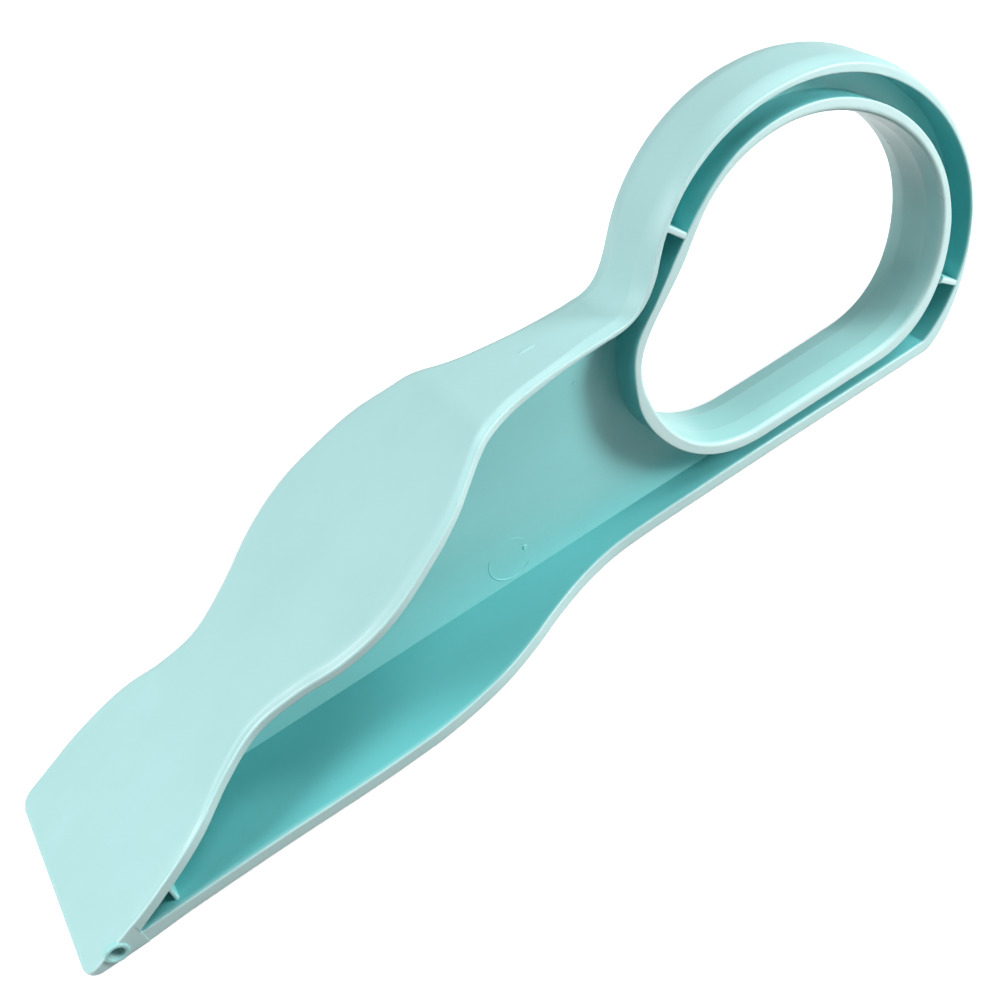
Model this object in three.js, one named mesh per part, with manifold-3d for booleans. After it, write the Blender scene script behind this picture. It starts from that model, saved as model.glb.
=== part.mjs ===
// A moulded plastic mattress lifter: a thin-nosed wedge whose ramp runs up to a short
// deck, sinks into a neck and climbs round a finger loop to the heel of a flat base.
// The real object is one injection moulding, the same on both sides of y = 0 except for
// the core hole and its collar, which only the near side (-y) has. Each wall, web, rib and
// collar of the moulding is its own closed solid here. Millimetres, +Z up.

import * as THREE from 'three';
import { mergeVertices } from 'three/addons/utils/BufferGeometryUtils.js';
import Module from 'manifold-3d';

const wasm = await Module();
wasm.setup();

// ---- driving dimensions -------------------------------------------------------------
const TOTAL_LENGTH = 304;        // nose to the back of the band
const HEIGHT = 109;              // resting face to the top of the band
const GAP = 0.3;                 // clearance left where two walls of the moulding meet

const RAMP_RISE = 0.496;         // height gained per millimetre along the ramp
const RAMP_START = 1.15;         // height of the ramp's skin line at x = 0
const DECK_TOP = 70.1;           // skin of the level deck before the neck
const KNEE_RADIUS = 16;          // bend between ramp and deck, outer skin
const DECK_END = 180;            // where the deck's wall hands over to the band
const TAIL_END = 283.8;          // where the base hands over to the band's heel

const SKIN = 3.1;                // wall of the ramp and of the deck above it
const NECK_SKIN = 2.1;           // the deck's wall thins to this at the neck
const BASE_WALL = 4.5;           // wall of the flat base
const WEB_WALL = 2.6;            // centre web
const RIB_WALL = 1.8;            // ribs that bridge the channel
const TIP_RIB_WALL = 1.2;        // small stiffening ribs near the nose

const HANDLE_HALF = 10;          // half width of band, sleeve and the base's tail
const BLADE_HALF = 31;           // half width of the blades at the nose
const NOSE_LENGTH = 14.6;        // solid nose ahead of the side pockets
const NOSE_CORNER = 4;           // nose corner radius seen from above
const NOSE_FRONT = [0.4, 0.9];   // lower and upper edge of the blunt front face
const WEB_SPLIT = 178;           // blade web ends, channel web begins
const NECK_RIB = { at: [205.1, 85.5], degrees: 135 };   // middle and lean of each rib
const HEEL_RIB = { at: [294, 20.3], degrees: -37 };
const TIP_RIB_X = 26.3;
const TIP_RIB_HALF = 28.6;       // how far the small ribs reach from the mid-plane

const CORE = { x: 9.1, z: 3.55, r: 1.75, depth: 8 };       // blind hole in the near side
const COLLAR = { outer: 3.0, inner: 2.0, height: 0.5 };    // raised rim round the hole

// half width of the ramp and deck seen from above: nose, waist, bulge, neck
const DECK_PLAN = [
  [0, 31], [24, 30.6], [40, 27.4], [50, 22.9], [61.5, 20.2], [74, 23.5], [86, 29],
  [98, 31.6], [112, 29.8], [124, 26.2], [136, 19.5], [148, 13.9], [160, 11.4],
  [172, 10.2], [DECK_END, HANDLE_HALF],
];
// half width of the base: straight sides, then one S-bend into the tail
const BASE_PLAN = [
  [0, 31], [50, 30.6], [90, 30.8], [101, 30.3], [111, 28.9], [122, 26.5], [133, 22.6],
  [144, 17.8], [156, 13.5], [168, 10.9], [180, 10.2], [196, HANDLE_HALF],
];

// ---- side-view curves, x along the tool, z up ---------------------------------------
const UP = [0, 1];
const ALONG = [1, 0];
const lean = (degrees) => [
  Math.cos(THREE.MathUtils.degToRad(degrees)), Math.sin(THREE.MathUtils.degToRad(degrees)),
];
const NECK_LEAN = lean(63);      // how the band's skin leaves the neck
const NECK_BACK_LEAN = lean(67.5);
const LOOP_LEAN = lean(49.6);    // how the finger loop's front upper wall leans
const flip = (way) => way.map((v) => -v);

// each knot: point, direction of travel, reach of the curve before and after it
const BAND_KNOTS = [
  { at: [DECK_END + 4, DECK_TOP], way: ALONG, before: 0, after: 6.5 },
  { at: [197, 84.1], way: NECK_LEAN, before: 9.4, after: 16 },
  { at: [238.7, HEIGHT], way: ALONG, before: 19.2, after: 42 },
  { at: [TOTAL_LENGTH, 39.5], way: flip(UP), before: 28.7, after: 23.6 },
  { at: [TAIL_END + 0.5, 0], way: flip(ALONG), before: 6, after: 0 },
];
// the band's inner line: its wall is thickest over the top of the loop
const BAND_BACK_KNOTS = [
  { at: [DECK_END + 2, DECK_TOP - NECK_SKIN], way: ALONG, before: 0, after: 8.1 },
  { at: [198.8, 81], way: NECK_BACK_LEAN, before: 9.3, after: 16.4 },
  { at: [238.5, 105.9], way: ALONG, before: 19, after: 33.8 },
  { at: [302, 40.8], way: flip(UP), before: 31.2, after: 23 },
  { at: [TAIL_END, BASE_WALL], way: lean(-155), before: 5, after: 0 },
];
// the sleeve's outside, which the channel runs round, and its hand side
const SLEEVE_KNOTS = [
  { at: [222.3, 8.2], way: ALONG, before: 23.3, after: 10 },
  { at: [265.6, 8.2], way: ALONG, before: 10, after: 24.2 },
  { at: [294.4, 42.2], way: UP, before: 9.6, after: 29.7 },
  { at: [239.8, 100], way: flip(ALONG), before: 26.8, after: 19.9 },
  { at: [196.4, 71.3], way: flip(LOOP_LEAN), before: 25.1, after: 9.4 },
  { at: [185.3, 44.7], way: flip(UP), before: 18.6, after: 12.9 },
];
const HAND_KNOTS = [
  { at: [224.4, 12.9], way: ALONG, before: 31.7, after: 8 },
  { at: [262, 12.9], way: ALONG, before: 8, after: 25.9 },
  { at: [290.4, 44.8], way: UP, before: 8.7, after: 27.8 },
  { at: [238.9, 96], way: flip(ALONG), before: 22.1, after: 17.1 },
  { at: [206.9, 78.1], way: flip(LOOP_LEAN), before: 11, after: 15.5 },
  { at: [188.8, 48.9], way: flip(UP), before: 12, after: 5.7 },
];

const CURVE_STEPS = 14;

const rampSkin = (x) => RAMP_START + RAMP_RISE * x;
const rampUnder = (x) => rampSkin(x) - SKIN * Math.hypot(1, RAMP_RISE);

// cubic stretches through the knots; a closed run joins the last knot to the first
function throughKnots(knots, closed) {
  const points = [];
  const spans = closed ? knots.length : knots.length - 1;
  for (let i = 0; i < spans; i += 1) {
    const a = knots[i];
    const b = knots[(i + 1) % knots.length];
    const curve = new THREE.CubicBezierCurve(
      new THREE.Vector2(...a.at),
      new THREE.Vector2(a.at[0] + a.way[0] * a.after, a.at[1] + a.way[1] * a.after),
      new THREE.Vector2(b.at[0] - b.way[0] * b.before, b.at[1] - b.way[1] * b.before),
      new THREE.Vector2(...b.at),
    );
    const stretch = curve.getPoints(CURVE_STEPS).map((p) => [p.x, p.y]);
    points.push(...(i === 0 ? stretch : stretch.slice(1)));
  }
  if (closed) points.pop();
  return points;
}

// the same run of points moved sideways; distance counts to the left of travel
function offsetRun(points, distance, closed) {
  const last = points.length - 1;
  return points.map(([x, z], i) => {
    const a = points[closed ? (i + last) % points.length : Math.max(i - 1, 0)];
    const b = points[closed ? (i + 1) % points.length : Math.min(i + 1, last)];
    const length = Math.hypot(b[0] - a[0], b[1] - a[1]);
    return [x - (distance * (b[1] - a[1])) / length, z + (distance * (b[0] - a[0])) / length];
  });
}

// an arc that rounds the corner between the ramp line and a level line, ramp side first
function kneeArc(level, startHeight, radius) {
  const angle = Math.atan(RAMP_RISE);
  const corner = (level - startHeight) / RAMP_RISE;
  const centreX = corner + radius * Math.tan(angle / 2);
  const points = [];
  for (let i = 0; i <= 8; i += 1) {
    const turn = angle * (1 - i / 8);
    points.push([centreX - radius * Math.sin(turn), level - radius * (1 - Math.cos(turn))]);
  }
  return points;
}

// ---- solids -------------------------------------------------------------------------
const shapeOf = (points) => new THREE.Shape(points.map(([x, y]) => new THREE.Vector2(x, y)));

// a side-view outline carried across the width, from y = low to y = high
function acrossWidth(outline, low, high, hole) {
  const shape = shapeOf(outline);
  if (hole) shape.holes.push(new THREE.Path(hole.map(([x, z]) => new THREE.Vector2(x, z))));
  const geometry = new THREE.ExtrudeGeometry(shape, { depth: high - low, bevelEnabled: false });
  geometry.rotateX(Math.PI / 2);
  geometry.translate(0, high, 0);
  return geometry;
}

// an outline seen from above raised from z = low to z = high
function raised(outline, low, high) {
  const settings = { depth: high - low, bevelEnabled: false };
  const geometry = new THREE.ExtrudeGeometry(shapeOf(outline), settings);
  geometry.translate(0, 0, low);
  return geometry;
}

function toSolid(geometry) {
  const plain = geometry.index ? geometry.toNonIndexed() : geometry.clone();
  plain.deleteAttribute('normal');
  plain.deleteAttribute('uv');
  const merged = mergeVertices(plain, 1e-4);
  return new wasm.Manifold(new wasm.Mesh({
    numProp: 3,
    vertProperties: new Float32Array(merged.attributes.position.array),
    triVerts: new Uint32Array(merged.index.array),
  }));
}

function toGeometry(solid) {
  const mesh = solid.getMesh();
  const geometry = new THREE.BufferGeometry();
  geometry.setAttribute('position', new THREE.BufferAttribute(mesh.vertProperties, 3));
  geometry.setIndex(new THREE.BufferAttribute(mesh.triVerts, 1));
  geometry.computeVertexNormals();
  return geometry;
}

// ---- outlines -----------------------------------------------------------------------
// plan outline, both sides, from a list of half widths, cut to one stretch of length
function planOutline(plan, from, to) {
  const side = new THREE.SplineCurve(plan.map(([x, y]) => new THREE.Vector2(x, y)));
  const inside = side.getPoints(64).filter((p) => p.x > from + 0.2 && p.x < to - 0.2);
  const widthAt = (x) => {
    const all = side.getPoints(256);
    const next = all.findIndex((p) => p.x >= x);
    return next < 0 ? all[all.length - 1].y : all[next].y;
  };
  const right = [[from, -widthAt(from)], ...inside.map((p) => [p.x, -p.y]), [to, -widthAt(to)]];
  const left = right.map(([x, y]) => [x, -y]).reverse();
  return [...right, ...left];
}

// plan outline of the nose: straight sides and rounded front corners
function noseOutline() {
  const side = BLADE_HALF - 0.1;
  const corner = (turn, way) => [
    NOSE_CORNER * (1 - Math.cos(turn)),
    way * (side - NOSE_CORNER + NOSE_CORNER * Math.sin(turn)),
  ];
  const turns = [0, 1, 2, 3, 4, 5].map((i) => (Math.PI / 2) * (i / 5));
  return [
    [NOSE_LENGTH, -side], [NOSE_LENGTH, side],
    ...turns.map((turn) => corner(turn, 1)).reverse(), ...turns.map((turn) => corner(turn, -1)),
  ];
}

const bandOuter = throughKnots(BAND_KNOTS, false);
const bandInner = throughKnots(BAND_BACK_KNOTS, false);
const sleeveOuter = throughKnots(SLEEVE_KNOTS, true);
const sleeveHand = throughKnots(HAND_KNOTS, true);

// ---- parts of the moulding ----------------------------------------------------------
function rampDeck() {
  const start = NOSE_LENGTH + GAP;
  const top = kneeArc(DECK_TOP, RAMP_START, KNEE_RADIUS);
  const under = kneeArc(DECK_TOP - SKIN, rampUnder(0), KNEE_RADIUS - SKIN);
  const side = [
    [start, rampUnder(start)], ...under, [DECK_END, DECK_TOP - NECK_SKIN],
    [DECK_END, DECK_TOP], ...top.reverse(), [start, rampSkin(start)],
  ];
  const slab = toSolid(acrossWidth(side, -40, 40));
  const plan = toSolid(raised(planOutline(DECK_PLAN, start - 1, DECK_END + 1), -5, HEIGHT));
  return toGeometry(slab.intersect(plan));
}

function baseBlade() {
  const end = TAIL_END - GAP;
  const outline = planOutline(BASE_PLAN, NOSE_LENGTH + GAP, end);
  const plate = toSolid(raised(outline, 0, BASE_WALL));
  const clearance = toSolid(acrossWidth([
    [0, rampUnder(0) - GAP], [40, rampUnder(40) - GAP], [0, 60],
  ], -40, 40));
  return toGeometry(plate.subtract(clearance));
}

function noseWedge() {
  const side = [
    [NOSE_FRONT[0], 0], [NOSE_LENGTH, 0], [NOSE_LENGTH, rampSkin(NOSE_LENGTH)],
    [NOSE_FRONT[1], rampSkin(NOSE_FRONT[1])], [0, NOSE_FRONT[1]], [0, NOSE_FRONT[0]],
  ];
  const slab = toSolid(acrossWidth(side, -40, 40));
  const plan = toSolid(raised(noseOutline(), -1, 20));
  const bore = new THREE.CylinderGeometry(CORE.r, CORE.r, CORE.depth, 24);
  bore.translate(CORE.x, CORE.depth / 2 - 1 - BLADE_HALF, CORE.z);
  return toGeometry(slab.intersect(plan).subtract(toSolid(bore)));
}

// web between base and ramp, from the nose pockets to the channel web
function bladeWeb() {
  const floor = BASE_WALL + GAP;
  const first = (floor + 2.5 * GAP - rampUnder(0)) / RAMP_RISE;
  const under = kneeArc(DECK_TOP - SKIN, rampUnder(0), KNEE_RADIUS - SKIN);
  const roof = under.map(([x, z]) => [x, z - GAP]).reverse();
  const side = [
    [first, floor], [WEB_SPLIT, floor], [WEB_SPLIT, DECK_TOP - NECK_SKIN - 1.2 * GAP],
    ...roof, [first, rampUnder(first) - 1.3 * GAP],
  ];
  return acrossWidth(side, -WEB_WALL / 2, WEB_WALL / 2);
}

// the channel between band and sleeve, closed round the sleeve
function channelSpace(low, high) {
  const start = WEB_SPLIT + GAP;
  const floor = BASE_WALL + GAP;
  const inner = offsetRun(bandInner, -GAP, false).filter(([, z]) => z > floor + GAP);
  const outline = [
    [start, floor], [TAIL_END - 2, floor], ...inner.reverse(),
    [start, DECK_TOP - NECK_SKIN - GAP],
  ];
  const hole = offsetRun(sleeveOuter, -GAP, true);
  return acrossWidth(outline, low, high, hole);
}

function handleBand() {
  const start = [DECK_END + GAP, DECK_TOP];
  const under = [DECK_END + GAP, DECK_TOP - NECK_SKIN];
  const outline = [start, ...bandOuter, ...bandInner.slice().reverse(), under];
  return acrossWidth(outline, -HANDLE_HALF, HANDLE_HALF);
}

function fingerSleeve() {
  return acrossWidth(sleeveOuter, -HANDLE_HALF, HANDLE_HALF, sleeveHand);
}

// a rib that bridges the channel: a bar through its middle, cut to the channel's walls
function bridgeRib(middle, degrees, side) {
  const inside = WEB_WALL / 2 + GAP;
  const bar = new THREE.BoxGeometry(2 * HANDLE_HALF, 2 * HANDLE_HALF, RIB_WALL);
  bar.rotateY(-THREE.MathUtils.degToRad(degrees));
  bar.translate(middle[0], side * HANDLE_HALF, middle[1]);
  const span = side > 0 ? [inside, HANDLE_HALF] : [-HANDLE_HALF, -inside];
  return toGeometry(toSolid(bar).intersect(toSolid(channelSpace(...span))));
}

function tipRib(side) {
  const low = BASE_WALL + GAP;
  const half = TIP_RIB_WALL / 2;
  const outline = [
    [TIP_RIB_X - half, low], [TIP_RIB_X + half, low],
    [TIP_RIB_X + half, rampUnder(TIP_RIB_X + half) - GAP],
    [TIP_RIB_X - half, rampUnder(TIP_RIB_X - half) - GAP],
  ];
  const near = WEB_WALL / 2 + GAP;
  const span = side > 0 ? [near, TIP_RIB_HALF] : [-TIP_RIB_HALF, -near];
  return acrossWidth(outline, ...span);
}

// raised collar round the blind hole in the near side of the nose
function coreCollar() {
  const { outer, inner, height } = COLLAR;
  const base = BLADE_HALF + 0.1;
  const ring = [
    [inner, 0], [outer, 0], [outer, height - 0.2], [outer - 0.2, height],
    [inner + 0.2, height], [inner, height - 0.2], [inner, 0],
  ].map(([r, y]) => new THREE.Vector2(r, y));
  const collar = new THREE.LatheGeometry(ring, 32);
  collar.rotateX(Math.PI);
  collar.translate(CORE.x, -base, CORE.z);
  return collar;
}

// ---- assembly -----------------------------------------------------------------------
const MINT = { roughness: 0.38, metalness: 0 };
const TINTS = { skin: 0xa9dedb, web: 0x79c2c2, sleeve: 0xb4e4e0, rib: 0xc8f0ec };

const moulding = new THREE.Group();
moulding.position.x = -TOTAL_LENGTH / 2;

function place(name, geometry, tint) {
  const material = new THREE.MeshStandardMaterial({ color: TINTS[tint], ...MINT });
  const mesh = new THREE.Mesh(geometry, material);
  mesh.name = name;
  moulding.add(mesh);
}

place('nose_wedge', noseWedge(), 'skin');
place('ramp_deck', rampDeck(), 'skin');
place('base_blade', baseBlade(), 'skin');
place('blade_web', bladeWeb(), 'web');
place('channel_web', channelSpace(-WEB_WALL / 2, WEB_WALL / 2), 'web');
place('handle_band', handleBand(), 'skin');
place('finger_sleeve', fingerSleeve(), 'sleeve');

for (const [label, side] of [['near', -1], ['far', 1]]) {
  place(`neck_rib_${label}`, bridgeRib(NECK_RIB.at, NECK_RIB.degrees, side), 'rib');
  place(`heel_rib_${label}`, bridgeRib(HEEL_RIB.at, HEEL_RIB.degrees, side), 'rib');
  place(`tip_rib_${label}`, tipRib(side), 'rib');
}
place('core_collar', coreCollar(), 'rib');

const part = new THREE.Group();
part.add(moulding);

export default part;
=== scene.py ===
"""A moulded mint plastic mattress lifter: thin nose, ramp, short deck, neck and finger loop.

The whole tool is one moulding, so its walls, web, ribs and collar all ride on one body. Lengths
are in millimetres from the nose, and place() turns them into the frame's metres.
"""
import math

import bpy
import numpy as np
from mathutils import Matrix, Vector


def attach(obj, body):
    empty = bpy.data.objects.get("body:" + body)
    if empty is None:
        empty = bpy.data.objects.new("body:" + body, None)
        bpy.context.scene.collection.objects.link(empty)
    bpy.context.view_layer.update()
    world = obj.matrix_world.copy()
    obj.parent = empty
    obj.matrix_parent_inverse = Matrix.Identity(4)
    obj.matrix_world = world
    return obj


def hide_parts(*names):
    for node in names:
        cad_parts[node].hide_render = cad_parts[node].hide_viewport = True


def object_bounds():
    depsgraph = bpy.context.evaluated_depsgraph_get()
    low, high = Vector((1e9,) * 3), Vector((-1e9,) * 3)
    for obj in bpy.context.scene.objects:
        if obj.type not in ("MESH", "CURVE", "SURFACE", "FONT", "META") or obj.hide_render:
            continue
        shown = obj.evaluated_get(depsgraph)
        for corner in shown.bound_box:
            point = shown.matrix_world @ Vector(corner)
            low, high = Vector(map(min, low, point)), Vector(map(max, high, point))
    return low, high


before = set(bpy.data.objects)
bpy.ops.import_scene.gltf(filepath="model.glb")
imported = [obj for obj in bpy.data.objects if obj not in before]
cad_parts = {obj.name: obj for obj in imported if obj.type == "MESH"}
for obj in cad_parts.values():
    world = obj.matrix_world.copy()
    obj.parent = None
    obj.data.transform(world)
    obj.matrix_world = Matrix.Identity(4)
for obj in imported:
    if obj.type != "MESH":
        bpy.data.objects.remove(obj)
CAD_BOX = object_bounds()
MM = 0.001

# ---- driving sizes, millimetres ---------------------------------------------------------
RAMP_RISE = 0.496          # height gained along the ramp
RAMP_ANGLE = math.atan(RAMP_RISE)
RAMP_START = 1.15          # ramp skin at the nose
DECK_TOP = 70.1            # level deck
KNEE_RADIUS = 16           # bend between ramp and deck
DECK_END = 180             # the deck's wall hands over to the handle band
TAIL_END = 283.8           # the base hands over to the band's heel
TOTAL_LENGTH = 304
HEIGHT = 109
SKIN = 3.1                 # wall of the ramp and of the deck above it
NECK_SKIN = 2.1            # the deck's wall thins to this at the neck
BASE_WALL = 4.5
WEB_WALL = 2.6
SINK = 0.5                 # how far a web or rib runs into the wall that carries it

HANDLE_HALF = 10
BLADE_HALF = 31
NOSE_CORNER = 4            # nose corner radius seen from above
NOSE_RADIUS = 0.45         # roundness of the front edge
FRONT_TOP = 0.62           # height at which the front edge's upper curve starts
FRONT_TOP_SHARE = 0.9      # share of the full circle's rise that the upper curve takes
FRONT_TURN = 0.35          # angle, radians, at which both front curves start
POCKET_RADIUS = 0.7        # rounded end of the side pockets

RIB_WALL = 1.8
RIB_START = 1.0            # ribs start inside the web, this far from the mid-plane
RIB_SHORT = 0.15           # and stop this far short of the handle's side face
RIB_FLARE = 0.35           # extra half thickness where a rib meets a wall
RIB_FLARE_REACH = 1.1
NECK_RIB = ((207.9, 82.8), (202.4, 88.3))
HEEL_RIB = ((291.1, 22.6), (297.6, 17.7))
TIP_RIB_X = 26.3
TIP_RIB_WALL = 1.2
TIP_RIB_HALF = 28.6

CORE_AT = (9.1, 3.55)      # blind core-pin hole in the near side of the nose
CORE_RADIUS = 1.75
CORE_DEPTH = 8
CORE_OVERSHOOT = 1         # how far the cutter stands out of the side face
COLLAR_RADII = (1.95, 3.0)
COLLAR_SPAN = (29.9, 31.58)
COLLAR_CROWN = 0.35        # height of the collar's rounded mouth

LOOP_MIDDLE = (240.0, 50.0)    # the web's rays start from this point in the finger loop
EJECTOR_PIN = (141.5, 12.5)    # middle of the ejector pin's ring on the web
EJECTOR_RADIUS = 6.7

DECK_PLAN = [
    (0, 31), (24, 30.6), (40, 27.4), (50, 22.9), (61.5, 20.2), (74, 23.5), (86, 29), (98, 31.5),
    (112, 29.8), (124, 26.2), (136, 19.5), (148, 13.9), (160, 11.4), (172, 10.2), (180, 10),
]
BASE_PLAN = [
    (0, 31), (50, 30.6), (90, 30.8), (101, 30.3), (111, 28.9), (122, 26.5), (133, 22.6),
    (144, 17.8), (156, 13.5), (168, 10.9), (180, 10.2), (196, 10), (TAIL_END, 10),
]

HARD_TURN = math.radians(38)   # mesh edges that turn more than this are hard
EDGE_SHARE = 0.48              # most of a wall's thickness that one edge radius takes
LIP_SHARE = 0.5                # most of a wall's thickness that a lip falls by
SKIN_SHARES = np.linspace(0, 0.93, 6)           # columns across the flat of the skin
LIP_SHARES = (0, 0.1, 0.3, 0.5, 0.7, 0.88)      # columns down the lip
SIDE_SHARES = (0.15, 0.5, 0.85)                 # columns down the side face
BACK_SHARES = np.linspace(0.97, 0, 7)           # columns across the flat of the back
BACK_MARGIN = 0.2              # the back's first column lies this far in from its edge

LEVEL, UP = (1, 0), (0, 1)


def lean(degrees):
    """The unit direction at that angle above level, in the side view."""
    return math.cos(math.radians(degrees)), math.sin(math.radians(degrees))


def opposite(way):
    """The direction turned right round."""
    return -way[0], -way[1]


# each knot: point, direction of travel, reach of the curve before it and after it
BAND_KNOTS = [
    ((184, DECK_TOP), LEVEL, 0, 6.5), ((197, 84.1), lean(63), 9.4, 16),
    ((238.7, HEIGHT), LEVEL, 19.2, 42), ((TOTAL_LENGTH, 39.5), opposite(UP), 28.7, 23.6),
    ((284.3, 0), opposite(LEVEL), 6, 0),
]
BAND_BACK_KNOTS = [
    ((182, DECK_TOP - NECK_SKIN), LEVEL, 0, 8.1), ((198.8, 81), lean(67.5), 9.3, 16.4),
    ((238.5, 105.9), LEVEL, 19, 33.8), ((302, 40.8), opposite(UP), 31.2, 23),
    ((TAIL_END, BASE_WALL), lean(-155), 5, 0),
]
SLEEVE_KNOTS = [
    ((222.3, 8.2), LEVEL, 23.3, 10), ((265.6, 8.2), LEVEL, 10, 24.2),
    ((294.4, 42.2), UP, 9.6, 29.7), ((239.8, 100), opposite(LEVEL), 26.8, 19.9),
    ((196.4, 71.3), opposite(lean(49.6)), 25.1, 9.4), ((185.3, 44.7), opposite(UP), 18.6, 12.9),
]
HAND_KNOTS = [
    ((224.4, 12.9), LEVEL, 31.7, 8), ((262, 12.9), LEVEL, 8, 25.9),
    ((290.4, 44.8), UP, 8.7, 27.8), ((238.9, 96), opposite(LEVEL), 22.1, 17.1),
    ((206.9, 78.1), opposite(lean(49.6)), 11, 15.5), ((188.8, 48.9), opposite(UP), 12, 5.7),
]


# ---- curves -----------------------------------------------------------------------------
def flowing(points):
    """A function that runs through the points: between neighbours it is a cubic whose slopes
    are those of the points' own run of differences."""
    at, size = np.array(points, float).T
    slope = np.gradient(size, at)

    def value(x):
        i = np.clip(np.searchsorted(at, x) - 1, 0, len(at) - 2)
        gap = at[i + 1] - at[i]
        t = np.clip((x - at[i]) / gap, 0, 1)
        return (
            size[i] * (1 + 2 * t) * (1 - t) ** 2 + slope[i] * gap * t * (1 - t) ** 2
            + size[i + 1] * t * t * (3 - 2 * t) - slope[i + 1] * gap * t * t * (1 - t)
        )

    return value


def ease(t):
    """A share from 0 to 1 with a soft start and a soft stop."""
    t = np.clip(t, 0, 1)
    return t * t * (3 - 2 * t)


def through_knots(knots, closed, steps=36):
    """Cubic Bezier stretches from knot to knot; a closed run joins the last to the first."""
    share = np.linspace(0, 1, steps, endpoint=False)[:, None]
    pairs = list(zip(knots, knots[1:] + knots[:1] if closed else knots[1:]))
    stretches = []
    for (a, way_a, _, after), (b, way_b, before, _) in pairs:
        a, b = np.array(a, float), np.array(b, float)
        first, second = a + np.array(way_a) * after, b - np.array(way_b) * before
        stretches.append(
            (1 - share) ** 3 * a + 3 * (1 - share) ** 2 * share * first
            + 3 * (1 - share) * share ** 2 * second + share ** 3 * b
        )
    if not closed:
        stretches.append(np.array([knots[-1][0]], float))
    return np.vstack(stretches)


def left_of(points):
    """Unit vectors square to a closed run of points, to the left of travel."""
    way = np.roll(points, -1, 0) - np.roll(points, 1, 0)
    way /= np.linalg.norm(way, axis=1)[:, None]
    return np.stack([-way[:, 1], way[:, 0]], 1)


def knee_arc(level, start_height, radius, steps=14):
    """The arc that rounds the corner between a ramp line and a level line, ramp side first."""
    middle = (level - start_height) / RAMP_RISE + radius * math.tan(RAMP_ANGLE / 2)
    turn = np.linspace(RAMP_ANGLE, 0, steps)
    return np.stack([middle - radius * np.sin(turn), level - radius * (1 - np.cos(turn))], 1)


def straight(a, b, steps):
    """Evenly spaced points from a towards b, without b itself."""
    return np.linspace(a, b, steps, endpoint=False)


# ---- meshes -----------------------------------------------------------------------------
def place(points):
    """Millimetres from the nose to the frame's metres."""
    placed = np.asarray(points, float) * MM
    placed[:, 0] += CAD_BOX[0].x
    return placed


def make_piece(name, points, faces, material, nodes, shares):
    """A smooth-shaded mesh whose hard edges are those that turn more than HARD_TURN. Each
    array of shares becomes a point attribute that the plastic reads."""
    mesh = bpy.data.meshes.new(name)
    mesh.from_pydata(place(points).tolist(), [], faces)
    for kind, share in shares.items():
        layer = mesh.attributes.new(kind, "FLOAT", "POINT")
        layer.data.foreach_set("value", np.ascontiguousarray(share, np.float32).ravel())
    mesh.update()
    mesh.shade_smooth()
    mesh.set_sharp_from_angle(angle=HARD_TURN)
    mesh.materials.append(material)
    piece = bpy.data.objects.new(name, mesh)
    bpy.context.scene.collection.objects.link(piece)
    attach(piece, "root")
    if nodes:
        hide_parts(*nodes)
    return piece


def grid_faces(rows, columns, wrap_rows, wrap_columns):
    """Quads of a grid of points stored row by row."""
    r = np.arange(rows if wrap_rows else rows - 1)[:, None]
    c = np.arange(columns if wrap_columns else columns - 1)[None, :]
    r2, c2 = (r + 1) % rows, (c + 1) % columns
    quads = np.stack([r * columns + c, r * columns + c2, r2 * columns + c2, r2 * columns + c], -1)
    return quads.reshape(-1, 4).tolist()


def wall_section(skin_edge, back_edge, lip_width, lip_drop, lip_power, crease_highlight, thickness):
    """The perimeter of one wall's cross-section for every station at once, as five arrays:
    distance in from the side face, share of the half width for the points near the middle,
    depth below the skin, and how far the point belongs to the back and to the rim, which the
    plastic turns into painted shade and painted highlight. The skin falls by lip_drop over
    lip_width beside each edge, as a power of the distance, and both edges are quarter circles.
    The lip's first point carries a painted highlight line of its own."""
    ones = np.ones_like(thickness)
    skin_edge, back_edge = skin_edge * ones, back_edge * ones
    room = thickness * EDGE_SHARE
    skin_edge, back_edge = np.minimum(skin_edge, room), np.minimum(back_edge, room)
    columns = [[], [], [], [], []]

    def point(from_side, middle_share, deep, back_share=0.0, rim_highlight_share=0.0):
        for column, value in zip(columns, (from_side, middle_share, deep, back_share, rim_highlight_share)):
            column.append(value * ones)

    for middle in SKIN_SHARES:
        point(lip_width, middle, 0)
    # down the lip; its first point carries a painted highlight line
    for t in LIP_SHARES:
        point(lip_width + (skin_edge - lip_width) * t, 1, lip_drop * t ** lip_power, 0,
              crease_highlight * (t == 0))
    for turn in np.linspace(0, math.pi / 2, 6):
        point(skin_edge * (1 - math.sin(turn)), 1,
              lip_drop + skin_edge * (1 - math.cos(turn)), 0, math.sin(turn))
    side = thickness - back_edge - lip_drop - skin_edge
    for t in SIDE_SHARES:
        point(0, 1, lip_drop + skin_edge + side * t, 0, 1)
    for turn in np.linspace(0, math.pi / 2, 5):
        point(back_edge * (1 - math.cos(turn)), 1, thickness - back_edge * (1 - math.sin(turn)),
              turn / math.pi, math.cos(turn))
    for middle in BACK_SHARES:
        point(back_edge + BACK_MARGIN, middle, thickness, 1)
    return [np.stack(x, 1) for x in columns]


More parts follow.
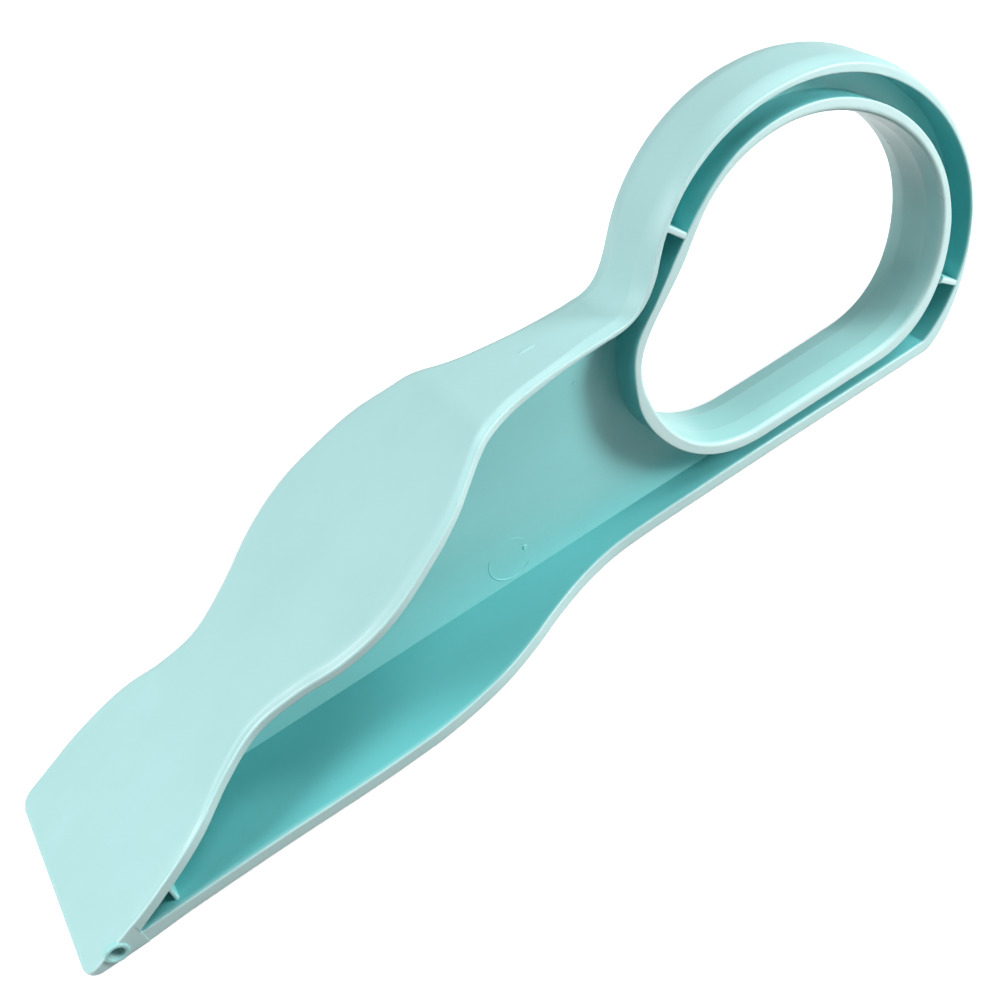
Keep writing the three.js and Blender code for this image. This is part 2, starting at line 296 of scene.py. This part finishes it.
def wall(name, skin, back, half_width, material, nodes, skin_edge, back_edge, closed=False,
         lip_width=1.2, lip_drop=0.0, lip_power=1.1, crease_highlight=0.0, solid=False):
    """One wall of the moulding: at each station its section runs from a point of the skin line
    to the matching point of the back line, and reaches half_width(x) to both sides. The back
    of a hollow piece carries painted shade and its rims a painted highlight, with a fainter
    painted highlight line where each lip starts. A solid piece gets no painted shade, so its
    back is as pale as its skin."""
    thickness = np.linalg.norm(back - skin, axis=1)
    ones = np.ones_like(thickness)
    lip_width, lip_drop = lip_width * ones, np.minimum(lip_drop * ones, thickness * LIP_SHARE)
    inset, share, depth, *shares = wall_section(
        skin_edge, back_edge, lip_width, lip_drop, lip_power, crease_highlight, thickness)
    down = (depth / thickness[:, None])[..., None]
    side_view = skin[:, None, :] * (1 - down) + back[:, None, :] * down
    reach = half_width(side_view[..., 0])
    near = (reach - inset) * share
    # the far half carries the same perimeter mirrored, without the two points on the mid-plane
    columns = np.concatenate([near, -near[:, -2:0:-1]], 1)
    outline = np.concatenate([side_view, side_view[:, -2:0:-1]], 1)
    points = np.stack([outline[..., 0], columns, outline[..., 1]], -1)
    rows, width = columns.shape
    faces = grid_faces(rows, width, closed, True)
    if not closed:
        faces.append(list(range(width))[::-1])
        faces.append(list(range((rows - 1) * width, rows * width)))
    # the back's share and the rim's share carry the painted shade and the painted highlight
    shares = [np.concatenate([half, half[:, -2:0:-1]], 1) for half in shares]
    return finish_piece(name, points.reshape(-1, 3), faces, material, nodes,
                        inside=shares[0] * (not solid), rim=shares[1])


def finish_piece(name, points, faces, material, nodes, **shares):
    """Makes the piece with its faces pointing outwards: the enclosed volume has to be
    positive."""
    volume = 0.0
    for size in {len(f) for f in faces}:
        ring = points[np.array([f for f in faces if len(f) == size])]
        for k in range(1, size - 1):
            volume += np.einsum("ij,ij->", ring[:, 0], np.cross(ring[:, k], ring[:, k + 1]))
    if volume < 0:
        faces = [f[::-1] for f in faces]
    return make_piece(name, points, faces, material, nodes, shares)


# ---- materials --------------------------------------------------------------------------
# painted shade: the deeper tone of faces turned into the moulding, standing in for shade in the
# hollows
PAINTED_SHADE_TONE = (0.16, 0.58, 0.59)
DRIFT = 0.96               # the deepest point of each tone's slow drift


def moulded_plastic(name, tone, rim_highlight_tone, roughness, grain, streak):
    """Satin polypropylene. Painted shade: its colour is deeper on faces turned into the moulding
    (attribute "inside"), standing in for the shade and bounce light in the hollows. Painted
    highlight: it is paler along the thin rims (attribute "rim"), standing in for the light they
    scatter. It drifts a little and has faint flow streaks along the tool; roughness varies with
    a mid-size noise; bump is a fine grain with a slow ripple."""
    material = bpy.data.materials.new(name)
    material.use_nodes = True
    nodes, links = material.node_tree.nodes, material.node_tree.links
    shader = nodes["Principled BSDF"]
    shader.inputs["IOR"].default_value = 1.49
    shader.inputs["Specular IOR Level"].default_value = 0.5
    position = nodes.new("ShaderNodeTexCoord")

    def noise(scale, detail, stretch=(1, 1, 1)):
        mapping = nodes.new("ShaderNodeMapping")
        mapping.inputs["Scale"].default_value = stretch
        links.new(position.outputs["Object"], mapping.inputs["Vector"])
        texture = nodes.new("ShaderNodeTexNoise")
        texture.inputs["Scale"].default_value = scale
        texture.inputs["Detail"].default_value = detail
        links.new(mapping.outputs["Vector"], texture.inputs["Vector"])
        return texture.outputs["Fac"]

    def ramp(value, low, high, first, second):
        scale = nodes.new("ShaderNodeValToRGB")
        scale.color_ramp.elements[0].position = low
        scale.color_ramp.elements[1].position = high
        scale.color_ramp.elements[0].color = (*first, 1)
        scale.color_ramp.elements[1].color = (*second, 1)
        links.new(value, scale.inputs["Fac"])
        return scale.outputs["Color"]

    def blend(kind, factor, first, second):
        mix = nodes.new("ShaderNodeMix")
        mix.data_type, mix.blend_type = "RGBA", kind
        mix.inputs["Factor"].default_value = 1
        if factor is not None:
            links.new(factor, mix.inputs["Factor"])
        links.new(first, mix.inputs["A"])
        links.new(second, mix.inputs["B"])
        return mix.outputs["Result"]

    def share_of(kind):
        attribute = nodes.new("ShaderNodeAttribute")
        attribute.attribute_name = kind
        return attribute.outputs["Fac"]

    wander = noise(22, 3)
    # painted shade on faces turned into the moulding and painted highlight on the rims, mixed
    # over the random drift
    outer, inner, pale = (ramp(wander, 0.3, 0.7, [c * DRIFT for c in colour], colour)
                          for colour in (tone, PAINTED_SHADE_TONE, rim_highlight_tone))
    drift_shade_and_highlight = blend("MIX", share_of("rim"), blend("MIX", share_of("inside"), outer, inner), pale)
    flow = ramp(noise(60, 4, (0.18, 1, 1)), 0.35, 0.75, (1 - streak,) * 3, (1, 1, 1))
    links.new(blend("MULTIPLY", None, drift_shade_and_highlight, flow), shader.inputs["Base Color"])

    gloss = nodes.new("ShaderNodeMapRange")
    gloss.inputs["From Min"].default_value = 0.25
    gloss.inputs["From Max"].default_value = 0.75
    gloss.inputs["To Min"].default_value = roughness - 0.06
    gloss.inputs["To Max"].default_value = roughness + 0.07
    links.new(noise(140, 4), gloss.inputs["Value"])
    links.new(gloss.outputs["Result"], shader.inputs["Roughness"])

    fine = nodes.new("ShaderNodeBump")
    fine.inputs["Strength"].default_value = grain
    fine.inputs["Distance"].default_value = 0.00008
    links.new(noise(2600, 2), fine.inputs["Height"])
    ripple = nodes.new("ShaderNodeBump")
    ripple.inputs["Strength"].default_value = 0.25
    ripple.inputs["Distance"].default_value = 0.0004
    links.new(noise(70, 2), ripple.inputs["Height"])
    links.new(fine.outputs["Normal"], ripple.inputs["Normal"])
    links.new(ripple.outputs["Normal"], shader.inputs["Normal"])
    return material


# each plastic's second colour is its painted rim highlight
SKIN_PLASTIC = moulded_plastic(
    "satin_mint_skin", (0.48, 0.79, 0.79), (0.60, 0.88, 0.87), 0.40, 0.30, 0.03)
# painted bounce light: the web is the same plastic as the skin, but its tone has less red,
# standing in for the light that bounces round the mint cavity
WEB_PLASTIC = moulded_plastic(
    "mint_web", (0.34, 0.84, 0.84), (0.66, 0.91, 0.90), 0.36, 0.45, 0.05)
SLEEVE_PLASTIC = moulded_plastic(
    "polished_mint_sleeve", (0.40, 0.79, 0.78), (0.64, 0.90, 0.89), 0.33, 0.20, 0.03)


# ---- side-view lines --------------------------------------------------------------------
def ramp_skin(x):
    """Height of the ramp's skin."""
    return RAMP_START + RAMP_RISE * x


SLANT = math.hypot(1, RAMP_RISE)
UNDER_START = RAMP_START - SKIN * SLANT


def pocket():
    """Centre of the arc that ends the pockets: it touches the base's top and the ramp's
    underside, which meet at half their angle."""
    half_angle = RAMP_ANGLE / 2
    corner = (BASE_WALL - UNDER_START) / RAMP_RISE
    away = POCKET_RADIUS / math.sin(half_angle)
    return np.array([corner + away * math.cos(half_angle), BASE_WALL + POCKET_RADIUS])


POCKET = pocket()
POCKET_END = POCKET[0] - POCKET_RADIUS

band_skin = through_knots(BAND_KNOTS, False)
band_back = through_knots(BAND_BACK_KNOTS, False)
sleeve_channel = through_knots(SLEEVE_KNOTS, True)
sleeve_hand = through_knots(HAND_KNOTS, True)

deck_width = flowing(DECK_PLAN)
base_width = flowing(BASE_PLAN)


def rounded_nose(x):
    """Half width of the nose: straight sides with a quarter circle at each front corner."""
    t = np.clip(x / NOSE_CORNER, 0, 1)
    corner = BLADE_HALF - NOSE_CORNER * (1 - np.sqrt(np.clip(1 - (1 - t) ** 2, 0, 1)))
    return np.minimum(corner, deck_width(x))


def handle_width(x):
    """Half width of the handle, the same all round."""
    return np.full_like(x, HANDLE_HALF)


def ramp_lines():
    """Skin and back of the ramp and deck. The first backs follow the pocket's arc."""
    arc = np.linspace(math.pi, math.pi / 2 + RAMP_ANGLE, 7)
    tip = POCKET + POCKET_RADIUS * np.stack([np.cos(arc), np.sin(arc)], 1)
    knee_skin = knee_arc(DECK_TOP, RAMP_START, KNEE_RADIUS)
    knee_back = knee_arc(DECK_TOP - SKIN, UNDER_START, KNEE_RADIUS - SKIN)
    start = tip[-1, 0]
    x = np.linspace(start, knee_skin[0, 0], 84, endpoint=False)[1:]
    x_back = np.linspace(start, knee_back[0, 0], 84, endpoint=False)[1:]
    skin = [
        np.stack([tip[:, 0], ramp_skin(tip[:, 0])], 1), np.stack([x, ramp_skin(x)], 1),
        knee_skin, straight(knee_skin[-1], (DECK_END, DECK_TOP), 30)[1:],
        [(DECK_END, DECK_TOP)],
    ]
    back = [
        tip, np.stack([x_back, UNDER_START + RAMP_RISE * x_back], 1), knee_back,
        straight(knee_back[-1], (DECK_END, DECK_TOP - NECK_SKIN), 30)[1:],
        [(DECK_END, DECK_TOP - NECK_SKIN)],
    ]
    return np.vstack(skin), np.vstack(back)


def base_lines():
    """Top (back) and resting face (skin) of the base, from the pocket's arc to the tail."""
    arc = np.linspace(math.pi, 1.5 * math.pi, 7)
    tip = POCKET + POCKET_RADIUS * np.stack([np.cos(arc), np.sin(arc)], 1)
    x = np.linspace(tip[-1, 0], TAIL_END, 150)[1:]
    top = np.vstack([tip, np.stack([x, np.full_like(x, BASE_WALL)], 1)])
    under = np.stack([top[:, 0], np.zeros(len(top))], 1)
    return under, top


def nose_lines():
    """Upper and lower line of the solid nose, with a round front edge."""
    turn = np.linspace(FRONT_TURN, math.pi / 2, 7)
    x = np.sort(NOSE_RADIUS * (1 - np.cos(turn)))
    rise = np.sqrt(np.clip(NOSE_RADIUS ** 2 - (NOSE_RADIUS - x) ** 2, 0, None))
    front_top = np.stack([x, FRONT_TOP + rise * FRONT_TOP_SHARE], 1)
    front_low = np.stack([x, np.maximum(NOSE_RADIUS - rise, 0)], 1)
    run = POCKET_END * np.linspace(0, 1, 30) ** 1.5
    run = run[run > NOSE_RADIUS * 1.4]
    upper = np.vstack([front_top, np.stack([run, ramp_skin(run)], 1)])
    lower = np.vstack([front_low, np.stack([run, np.zeros_like(run)], 1)])
    upper[:, 1] = np.minimum(upper[:, 1], ramp_skin(upper[:, 0]))
    return upper, lower


# ---- pieces -----------------------------------------------------------------------------
def nose():
    """The solid nose, with the core pin's blind hole cut into its near side."""
    upper, lower = nose_lines()
    piece = wall("nose_wedge_moulded", upper, lower, rounded_nose, SKIN_PLASTIC,
                 ["nose_wedge"], skin_edge=0.55, back_edge=0.35, solid=True)
    bpy.ops.mesh.primitive_cylinder_add(
        vertices=48, radius=CORE_RADIUS * MM, depth=CORE_DEPTH * MM,
        rotation=(math.pi / 2, 0, 0),
        location=(CAD_BOX[0].x + CORE_AT[0] * MM,
                  (CORE_DEPTH / 2 - CORE_OVERSHOOT - BLADE_HALF) * MM, CORE_AT[1] * MM))
    pin = bpy.context.object
    cut = piece.modifiers.new("core_hole", "BOOLEAN")
    cut.operation, cut.solver, cut.object = "DIFFERENCE", "EXACT", pin
    bpy.context.view_layer.update()
    evaluated = piece.evaluated_get(bpy.context.evaluated_depsgraph_get())
    mesh = bpy.data.meshes.new_from_object(evaluated)
    piece.modifiers.clear()
    piece.data = mesh
    mesh.name = piece.name
    mesh.shade_smooth()
    mesh.set_sharp_from_angle(angle=HARD_TURN)
    bpy.data.objects.remove(pin)


def ramp_and_deck():
    """The ramp and level deck. The lip beside each edge deepens up the ramp and widens towards
    the neck. Gives back the underside, which the web runs into."""
    skin, back = ramp_lines()
    x = skin[:, 0]
    drop = 0.75 * ease((x - 22) / 40)
    lip = 1.3 + 0.6 * ease((x - 30) / 60) + 1.0 * ease((x - 165) / 15)
    opening = 0.4 * ease((x - POCKET_END) / 4)
    wall("ramp_deck_moulded", skin, back, deck_width, SKIN_PLASTIC, ["ramp_deck"],
         skin_edge=0.55, back_edge=np.maximum(opening, 0.02), lip_width=lip, lip_drop=drop,
         crease_highlight=0.25 + 0.15 * ease((x - 150) / 30))
    return back


def base():
    """The flat base, its lower edges rounder behind the nose. Gives back the top."""
    under, top = base_lines()
    x = under[:, 0]
    opening = 0.45 * ease((x - POCKET_END) / 4)
    wall("base_blade_moulded", under, top, base_width, SKIN_PLASTIC, ["base_blade"],
         skin_edge=0.35 + 0.9 * ease((x - POCKET_END) / 12),
         back_edge=np.maximum(opening, 0.02), lip_width=1.6)
    return top


def band():
    """The handle's outer band, whose lip fades into the base at the heel. Gives back the
    inside, which the web runs into."""
    skin = np.vstack([straight((DECK_END, DECK_TOP), (184, DECK_TOP), 4), band_skin])
    back = np.vstack([
        straight((DECK_END, DECK_TOP - NECK_SKIN), (182, DECK_TOP - NECK_SKIN), 4), band_back])
    skin[-1] = TAIL_END, 0
    t = np.linspace(0, 1, len(skin))
    lip = 2.9 + 2.2 * ease(t / 0.22) - 3.5 * ease((t - 0.8) / 0.2)
    drop = 0.75 + 0.55 * ease(t / 0.22) - 1.3 * ease((t - 0.8) / 0.2)
    wall("handle_band_moulded", skin, back, handle_width, SKIN_PLASTIC, ["handle_band"],
         skin_edge=0.55 + 0.7 * ease((t - 0.8) / 0.2), back_edge=0.45, lip_width=lip,
         lip_drop=drop, lip_power=1.05 + 0.6 * ease((t - 0.2) / 0.2),
         crease_highlight=0.4 * (1 - ease((t - 0.2) / 0.15)))
    return back


def sleeve():
    """The finger loop's ring: its hand side flares towards both rims."""
    wall("finger_sleeve_moulded", sleeve_hand, sleeve_channel, handle_width, SLEEVE_PLASTIC,
         ["finger_sleeve"], closed=True, skin_edge=1.5, back_edge=0.35, lip_width=5.8,
         lip_drop=0.9, lip_power=1.15, crease_highlight=0.3)


def web(border):
    """The centre web as a polar sheet: rays from inside the finger loop run from the sleeve to
    the border, and the sheet has a near face, a far face and two rims sunk into the walls."""
    centre = np.array(LOOP_MIDDLE)
    loop = sleeve_channel + left_of(sleeve_channel) * SINK
    spokes, ring = border - centre, loop - centre
    angle = np.arctan2(spokes[:, 1], spokes[:, 0])
    ring_angle = np.arctan2(ring[:, 1], ring[:, 0])
    order = np.argsort(ring_angle)
    reach = np.interp(angle, ring_angle[order], np.linalg.norm(ring, axis=1)[order],
                      period=2 * math.pi)
    inner = centre + spokes / np.linalg.norm(spokes, axis=1)[:, None] * reach[:, None]
    share = ease(np.linspace(0, 1, 15))[None, :, None]
    sheet = inner[:, None] * (1 - share) + border[:, None] * share
    half = np.full(sheet.shape[:2], WEB_WALL / 2)
    near = np.stack([sheet[..., 0], -half, sheet[..., 1]], -1)
    far = np.stack([sheet[..., 0], half, sheet[..., 1]], -1)
    points = np.concatenate([near, far[:, ::-1]], 1)
    rows, columns = points.shape[:2]
    faces = grid_faces(rows, columns, True, True)
    finish_piece("centre_web_moulded", points.reshape(-1, 3), faces, WEB_PLASTIC,
                 ["blade_web", "channel_web"])


def rib(name, start, end, thickness, low, high, node, pale=1.0):
    """A bar from wall to wall: a rounded oblong of that thickness between y = low and y = high,
    a little thicker at both ends where it meets the walls. Its outer end carries a painted
    highlight, as strong as pale."""
    start, end = np.array(start, float), np.array(end, float)
    length = np.linalg.norm(end - start)
    way = (end - start) / length
    across = np.array([-way[1], way[0]])
    t = np.linspace(0, 1, 15)
    edge = np.minimum(t, 1 - t) * length
    flare = RIB_FLARE * np.clip(1 - edge / RIB_FLARE_REACH, 0, 1) ** 2
    half = thickness / 2 + flare
    turn = np.linspace(0, 2 * math.pi, 40, endpoint=False)
    power = 0.35
    round_x = np.sign(np.cos(turn)) * np.abs(np.cos(turn)) ** power
    round_y = np.sign(np.sin(turn)) * np.abs(np.sin(turn)) ** (power * 0.4)
    middle, reach = (low + high) / 2, abs(high - low) / 2
    line = start + (end - start) * t[:, None]
    side = line[:, None] + across * (half[:, None, None] * round_x[None, :, None])
    y = np.broadcast_to(middle + reach * round_y, side.shape[:2])
    points = np.stack([side[..., 0], y, side[..., 1]], -1)
    rows, columns = points.shape[:2]
    faces = grid_faces(rows, columns, False, True)
    faces.append(list(range(columns))[::-1])
    faces.append(list(range((rows - 1) * columns, rows * columns)))
    # painted highlight on the rib's outer end
    rim = pale * np.clip((np.abs(y) - max(abs(low), abs(high)) + 1.2) / 0.8, 0, 1)
    finish_piece(name, points.reshape(-1, 3), faces, WEB_PLASTIC, [node], rim=rim)


def turned(name, profile, at, material, nodes):
    """A ring turned about an axis across the tool: the closed profile lists radius and y."""
    profile = np.array(profile, float)
    turn = np.linspace(0, 2 * math.pi, 56, endpoint=False)[:, None]
    points = np.stack([
        at[0] + profile[:, 0] * np.cos(turn), profile[:, 1] + 0 * turn,
        at[1] + profile[:, 0] * np.sin(turn)], -1)
    faces = grid_faces(len(turn), len(profile), True, True)
    finish_piece(name, points.reshape(-1, 3), faces, material, nodes)


def collar():
    """The raised collar round the core hole: a short tube with a rounded mouth."""
    inner, outer = COLLAR_RADII
    low, high = COLLAR_SPAN
    middle, swell = (inner + outer) / 2, (outer - inner) / 2
    turn = np.linspace(0, math.pi, 9)
    crown = [(middle + swell * math.cos(a), COLLAR_CROWN - high - COLLAR_CROWN * math.sin(a))
             for a in turn]
    profile = [(inner, -low), (outer, -low)] + crown
    turned("core_collar_moulded", profile, CORE_AT, SLEEVE_PLASTIC, ["core_collar"])


def bead(name, path, radius, material):
    """A fine raised mark: a tube along a path whose radius swells as a half sine from end to
    end. The path's points sit on a wall's surface, so half of the tube stands proud."""
    path = np.array(path, float)
    way = np.gradient(path, axis=0)
    way /= np.linalg.norm(way, axis=1)[:, None]
    square = np.cross(way, (0.13, 0.31, 0.94))
    square /= np.linalg.norm(square, axis=1)[:, None]
    third = np.cross(way, square)
    turn = np.linspace(0, 2 * math.pi, 10, endpoint=False)[None, :, None]
    size = radius * (0.25 + 0.75 * np.sin(np.linspace(0, math.pi, len(path))) ** 0.5)
    ring = square[:, None] * np.cos(turn) + third[:, None] * np.sin(turn)
    points = path[:, None] + ring * size[:, None, None]
    rows, columns = points.shape[:2]
    faces = grid_faces(rows, columns, False, True)
    faces.append(list(range(columns))[::-1])
    faces.append(list(range((rows - 1) * columns, rows * columns)))
    finish_piece(name, points.reshape(-1, 3), faces, material, [])


def arc_on_web(middle, radius, start, end, steps=40):
    """Points of an arc on the web's near face, angles in degrees."""
    turn = np.radians(np.linspace(start, end, steps))
    return np.stack([middle[0] + radius * np.cos(turn), np.full(steps, -WEB_WALL / 2),
                     middle[1] + radius * np.sin(turn)], 1)


def moulding_marks():
    """The gate's stub on the deck and the witness marks of an ejector pin on the web."""
    bead("gate_mark", np.linspace((161.5, 1.1, DECK_TOP), (166.3, 0.8, DECK_TOP), 12), 0.3,
         SKIN_PLASTIC)
    bead("ejector_ring_low", arc_on_web(EJECTOR_PIN, EJECTOR_RADIUS, 150, 320), 0.16,
         WEB_PLASTIC)
    bead("ejector_ring_high", arc_on_web(EJECTOR_PIN, EJECTOR_RADIUS, 20, 75), 0.10,
         WEB_PLASTIC)
    bead("ejector_speck", arc_on_web((146.7, 13.4), 0.5, 0, 350, 24), 0.28, WEB_PLASTIC)
    bead("web_speck", arc_on_web((173.2, 54.8), 0.5, 0, 300, 20), 0.14, WEB_PLASTIC)


nose()
ramp_back = ramp_and_deck()
base_top = base()
band_inside = band()
sleeve()
border_run = np.vstack([ramp_back, band_inside[1:], base_top[::-1][1:-1]])
web(border_run + left_of(border_run) * SINK)
TIP_RIB_TOP = UNDER_START + RAMP_RISE * TIP_RIB_X + SINK
for label, side in (("near", -1), ("far", 1)):
    low, high = side * RIB_START, side * (HANDLE_HALF - RIB_SHORT)
    rib(f"neck_rib_{label}_moulded", *NECK_RIB, RIB_WALL, low, high, f"neck_rib_{label}")
    rib(f"heel_rib_{label}_moulded", *HEEL_RIB, RIB_WALL, low, high, f"heel_rib_{label}")
    rib(f"tip_rib_{label}_moulded", (TIP_RIB_X, BASE_WALL - SINK), (TIP_RIB_X, TIP_RIB_TOP),
        TIP_RIB_WALL, low, side * TIP_RIB_HALF, f"tip_rib_{label}", 0.5)
collar()
moulding_marks()


# ---- setting ----------------------------------------------------------------------------
LENS = 43.903
SENSOR_WIDTH = 36
CAMERA_PLACE = (-0.08420, -0.22043, 0.24798)
CAMERA_RIGHT = (0.8235, -0.5167, -0.2345)
CAMERA_UP = (0.5133, 0.5022, 0.6959)
CAMERA_BACK = (-0.2418, -0.6934, 0.6788)


def camera():
    """Looks down on the tool from above the nose's near side, turned so the handle is at the
    upper right."""
    data = bpy.data.cameras.new("camera")
    data.lens, data.sensor_width = LENS, SENSOR_WIDTH
    data.clip_start, data.clip_end = 0.01, 20
    eye = bpy.data.objects.new("camera", data)
    turn = Matrix((CAMERA_RIGHT, CAMERA_UP, CAMERA_BACK)).transposed().to_4x4()
    eye.matrix_world = Matrix.Translation(CAMERA_PLACE) @ turn
    bpy.context.scene.collection.objects.link(eye)
    bpy.context.scene.camera = eye


# name, azimuth from the near side towards the handle, elevation, distance, disc size, power
LIGHTS = [
    ("near_right", 54, 18, 0.55, 0.17, 2.3), ("right", 45, 15, 1.3, 0.45, 1.6),
    ("high_right", 57, 61, 1.3, 0.45, 5.2), ("left", 270, 28, 0.7, 0.24, 1.35),
    ("high_left", 270, 40, 1.3, 0.45, 6.2),
]
LIT_POINT = (0.04, 0, 0.04)    # metres; every light faces it


def area_light(name, azimuth, elevation, distance, size, power):
    """A disc of light that faces LIT_POINT from that distance."""
    data = bpy.data.lights.new(name, "AREA")
    data.shape, data.size, data.energy = "DISK", size, power
    turn, rise = math.radians(azimuth), math.radians(elevation)
    way = Vector((math.sin(turn) * math.cos(rise), -math.cos(turn) * math.cos(rise),
                  math.sin(rise)))
    lamp = bpy.data.objects.new(name, data)
    lamp.location = Vector(LIT_POINT) + way * distance
    lamp.rotation_euler = way.to_track_quat("Z", "Y").to_euler()
    bpy.context.scene.collection.objects.link(lamp)


FLOOR_REACH = 4.0
FLOOR_GLOW = 0.6


def studio():
    """A white floor and a dim white room, darker below the horizon. The floor glows a little,
    so it stays pale under soft lights, and it throws no light on the tool."""
    world = bpy.data.worlds.new("white_room")
    world.use_nodes = True
    nodes, links = world.node_tree.nodes, world.node_tree.links
    direction = nodes.new("ShaderNodeTexCoord")
    parts = nodes.new("ShaderNodeSeparateXYZ")
    dusk = nodes.new("ShaderNodeMapRange")
    for limit, value in (("From Min", -0.25), ("From Max", 0.15), ("To Min", 0.02),
                         ("To Max", 0.20)):
        dusk.inputs[limit].default_value = value
    nodes["Background"].inputs["Color"].default_value = (1, 1, 1, 1)
    links.new(direction.outputs["Generated"], parts.inputs["Vector"])
    links.new(parts.outputs["Z"], dusk.inputs["Value"])
    links.new(dusk.outputs["Result"], nodes["Background"].inputs["Strength"])
    scene = bpy.context.scene
    scene.world = world
    scene.view_settings.view_transform = "Standard"
    mesh = bpy.data.meshes.new("floor")
    corners = [(x * FLOOR_REACH, y * FLOOR_REACH, 0)
               for x, y in ((-1, -1), (1, -1), (1, 1), (-1, 1))]
    mesh.from_pydata(corners, [], [(0, 1, 2, 3)])
    floor = bpy.data.objects.new("floor", mesh)
    scene.collection.objects.link(floor)
    paper = bpy.data.materials.new("white_paper")
    paper.use_nodes = True
    shader = paper.node_tree.nodes["Principled BSDF"]
    shader.inputs["Base Color"].default_value = (0.9, 0.9, 0.9, 1)
    shader.inputs["Roughness"].default_value = 0.9
    shader.inputs["Emission Color"].default_value = (1, 1, 1, 1)
    shader.inputs["Emission Strength"].default_value = FLOOR_GLOW
    mesh.materials.append(paper)
    floor.visible_diffuse = False
    for light in LIGHTS:
        area_light(*light)


camera()
studio()
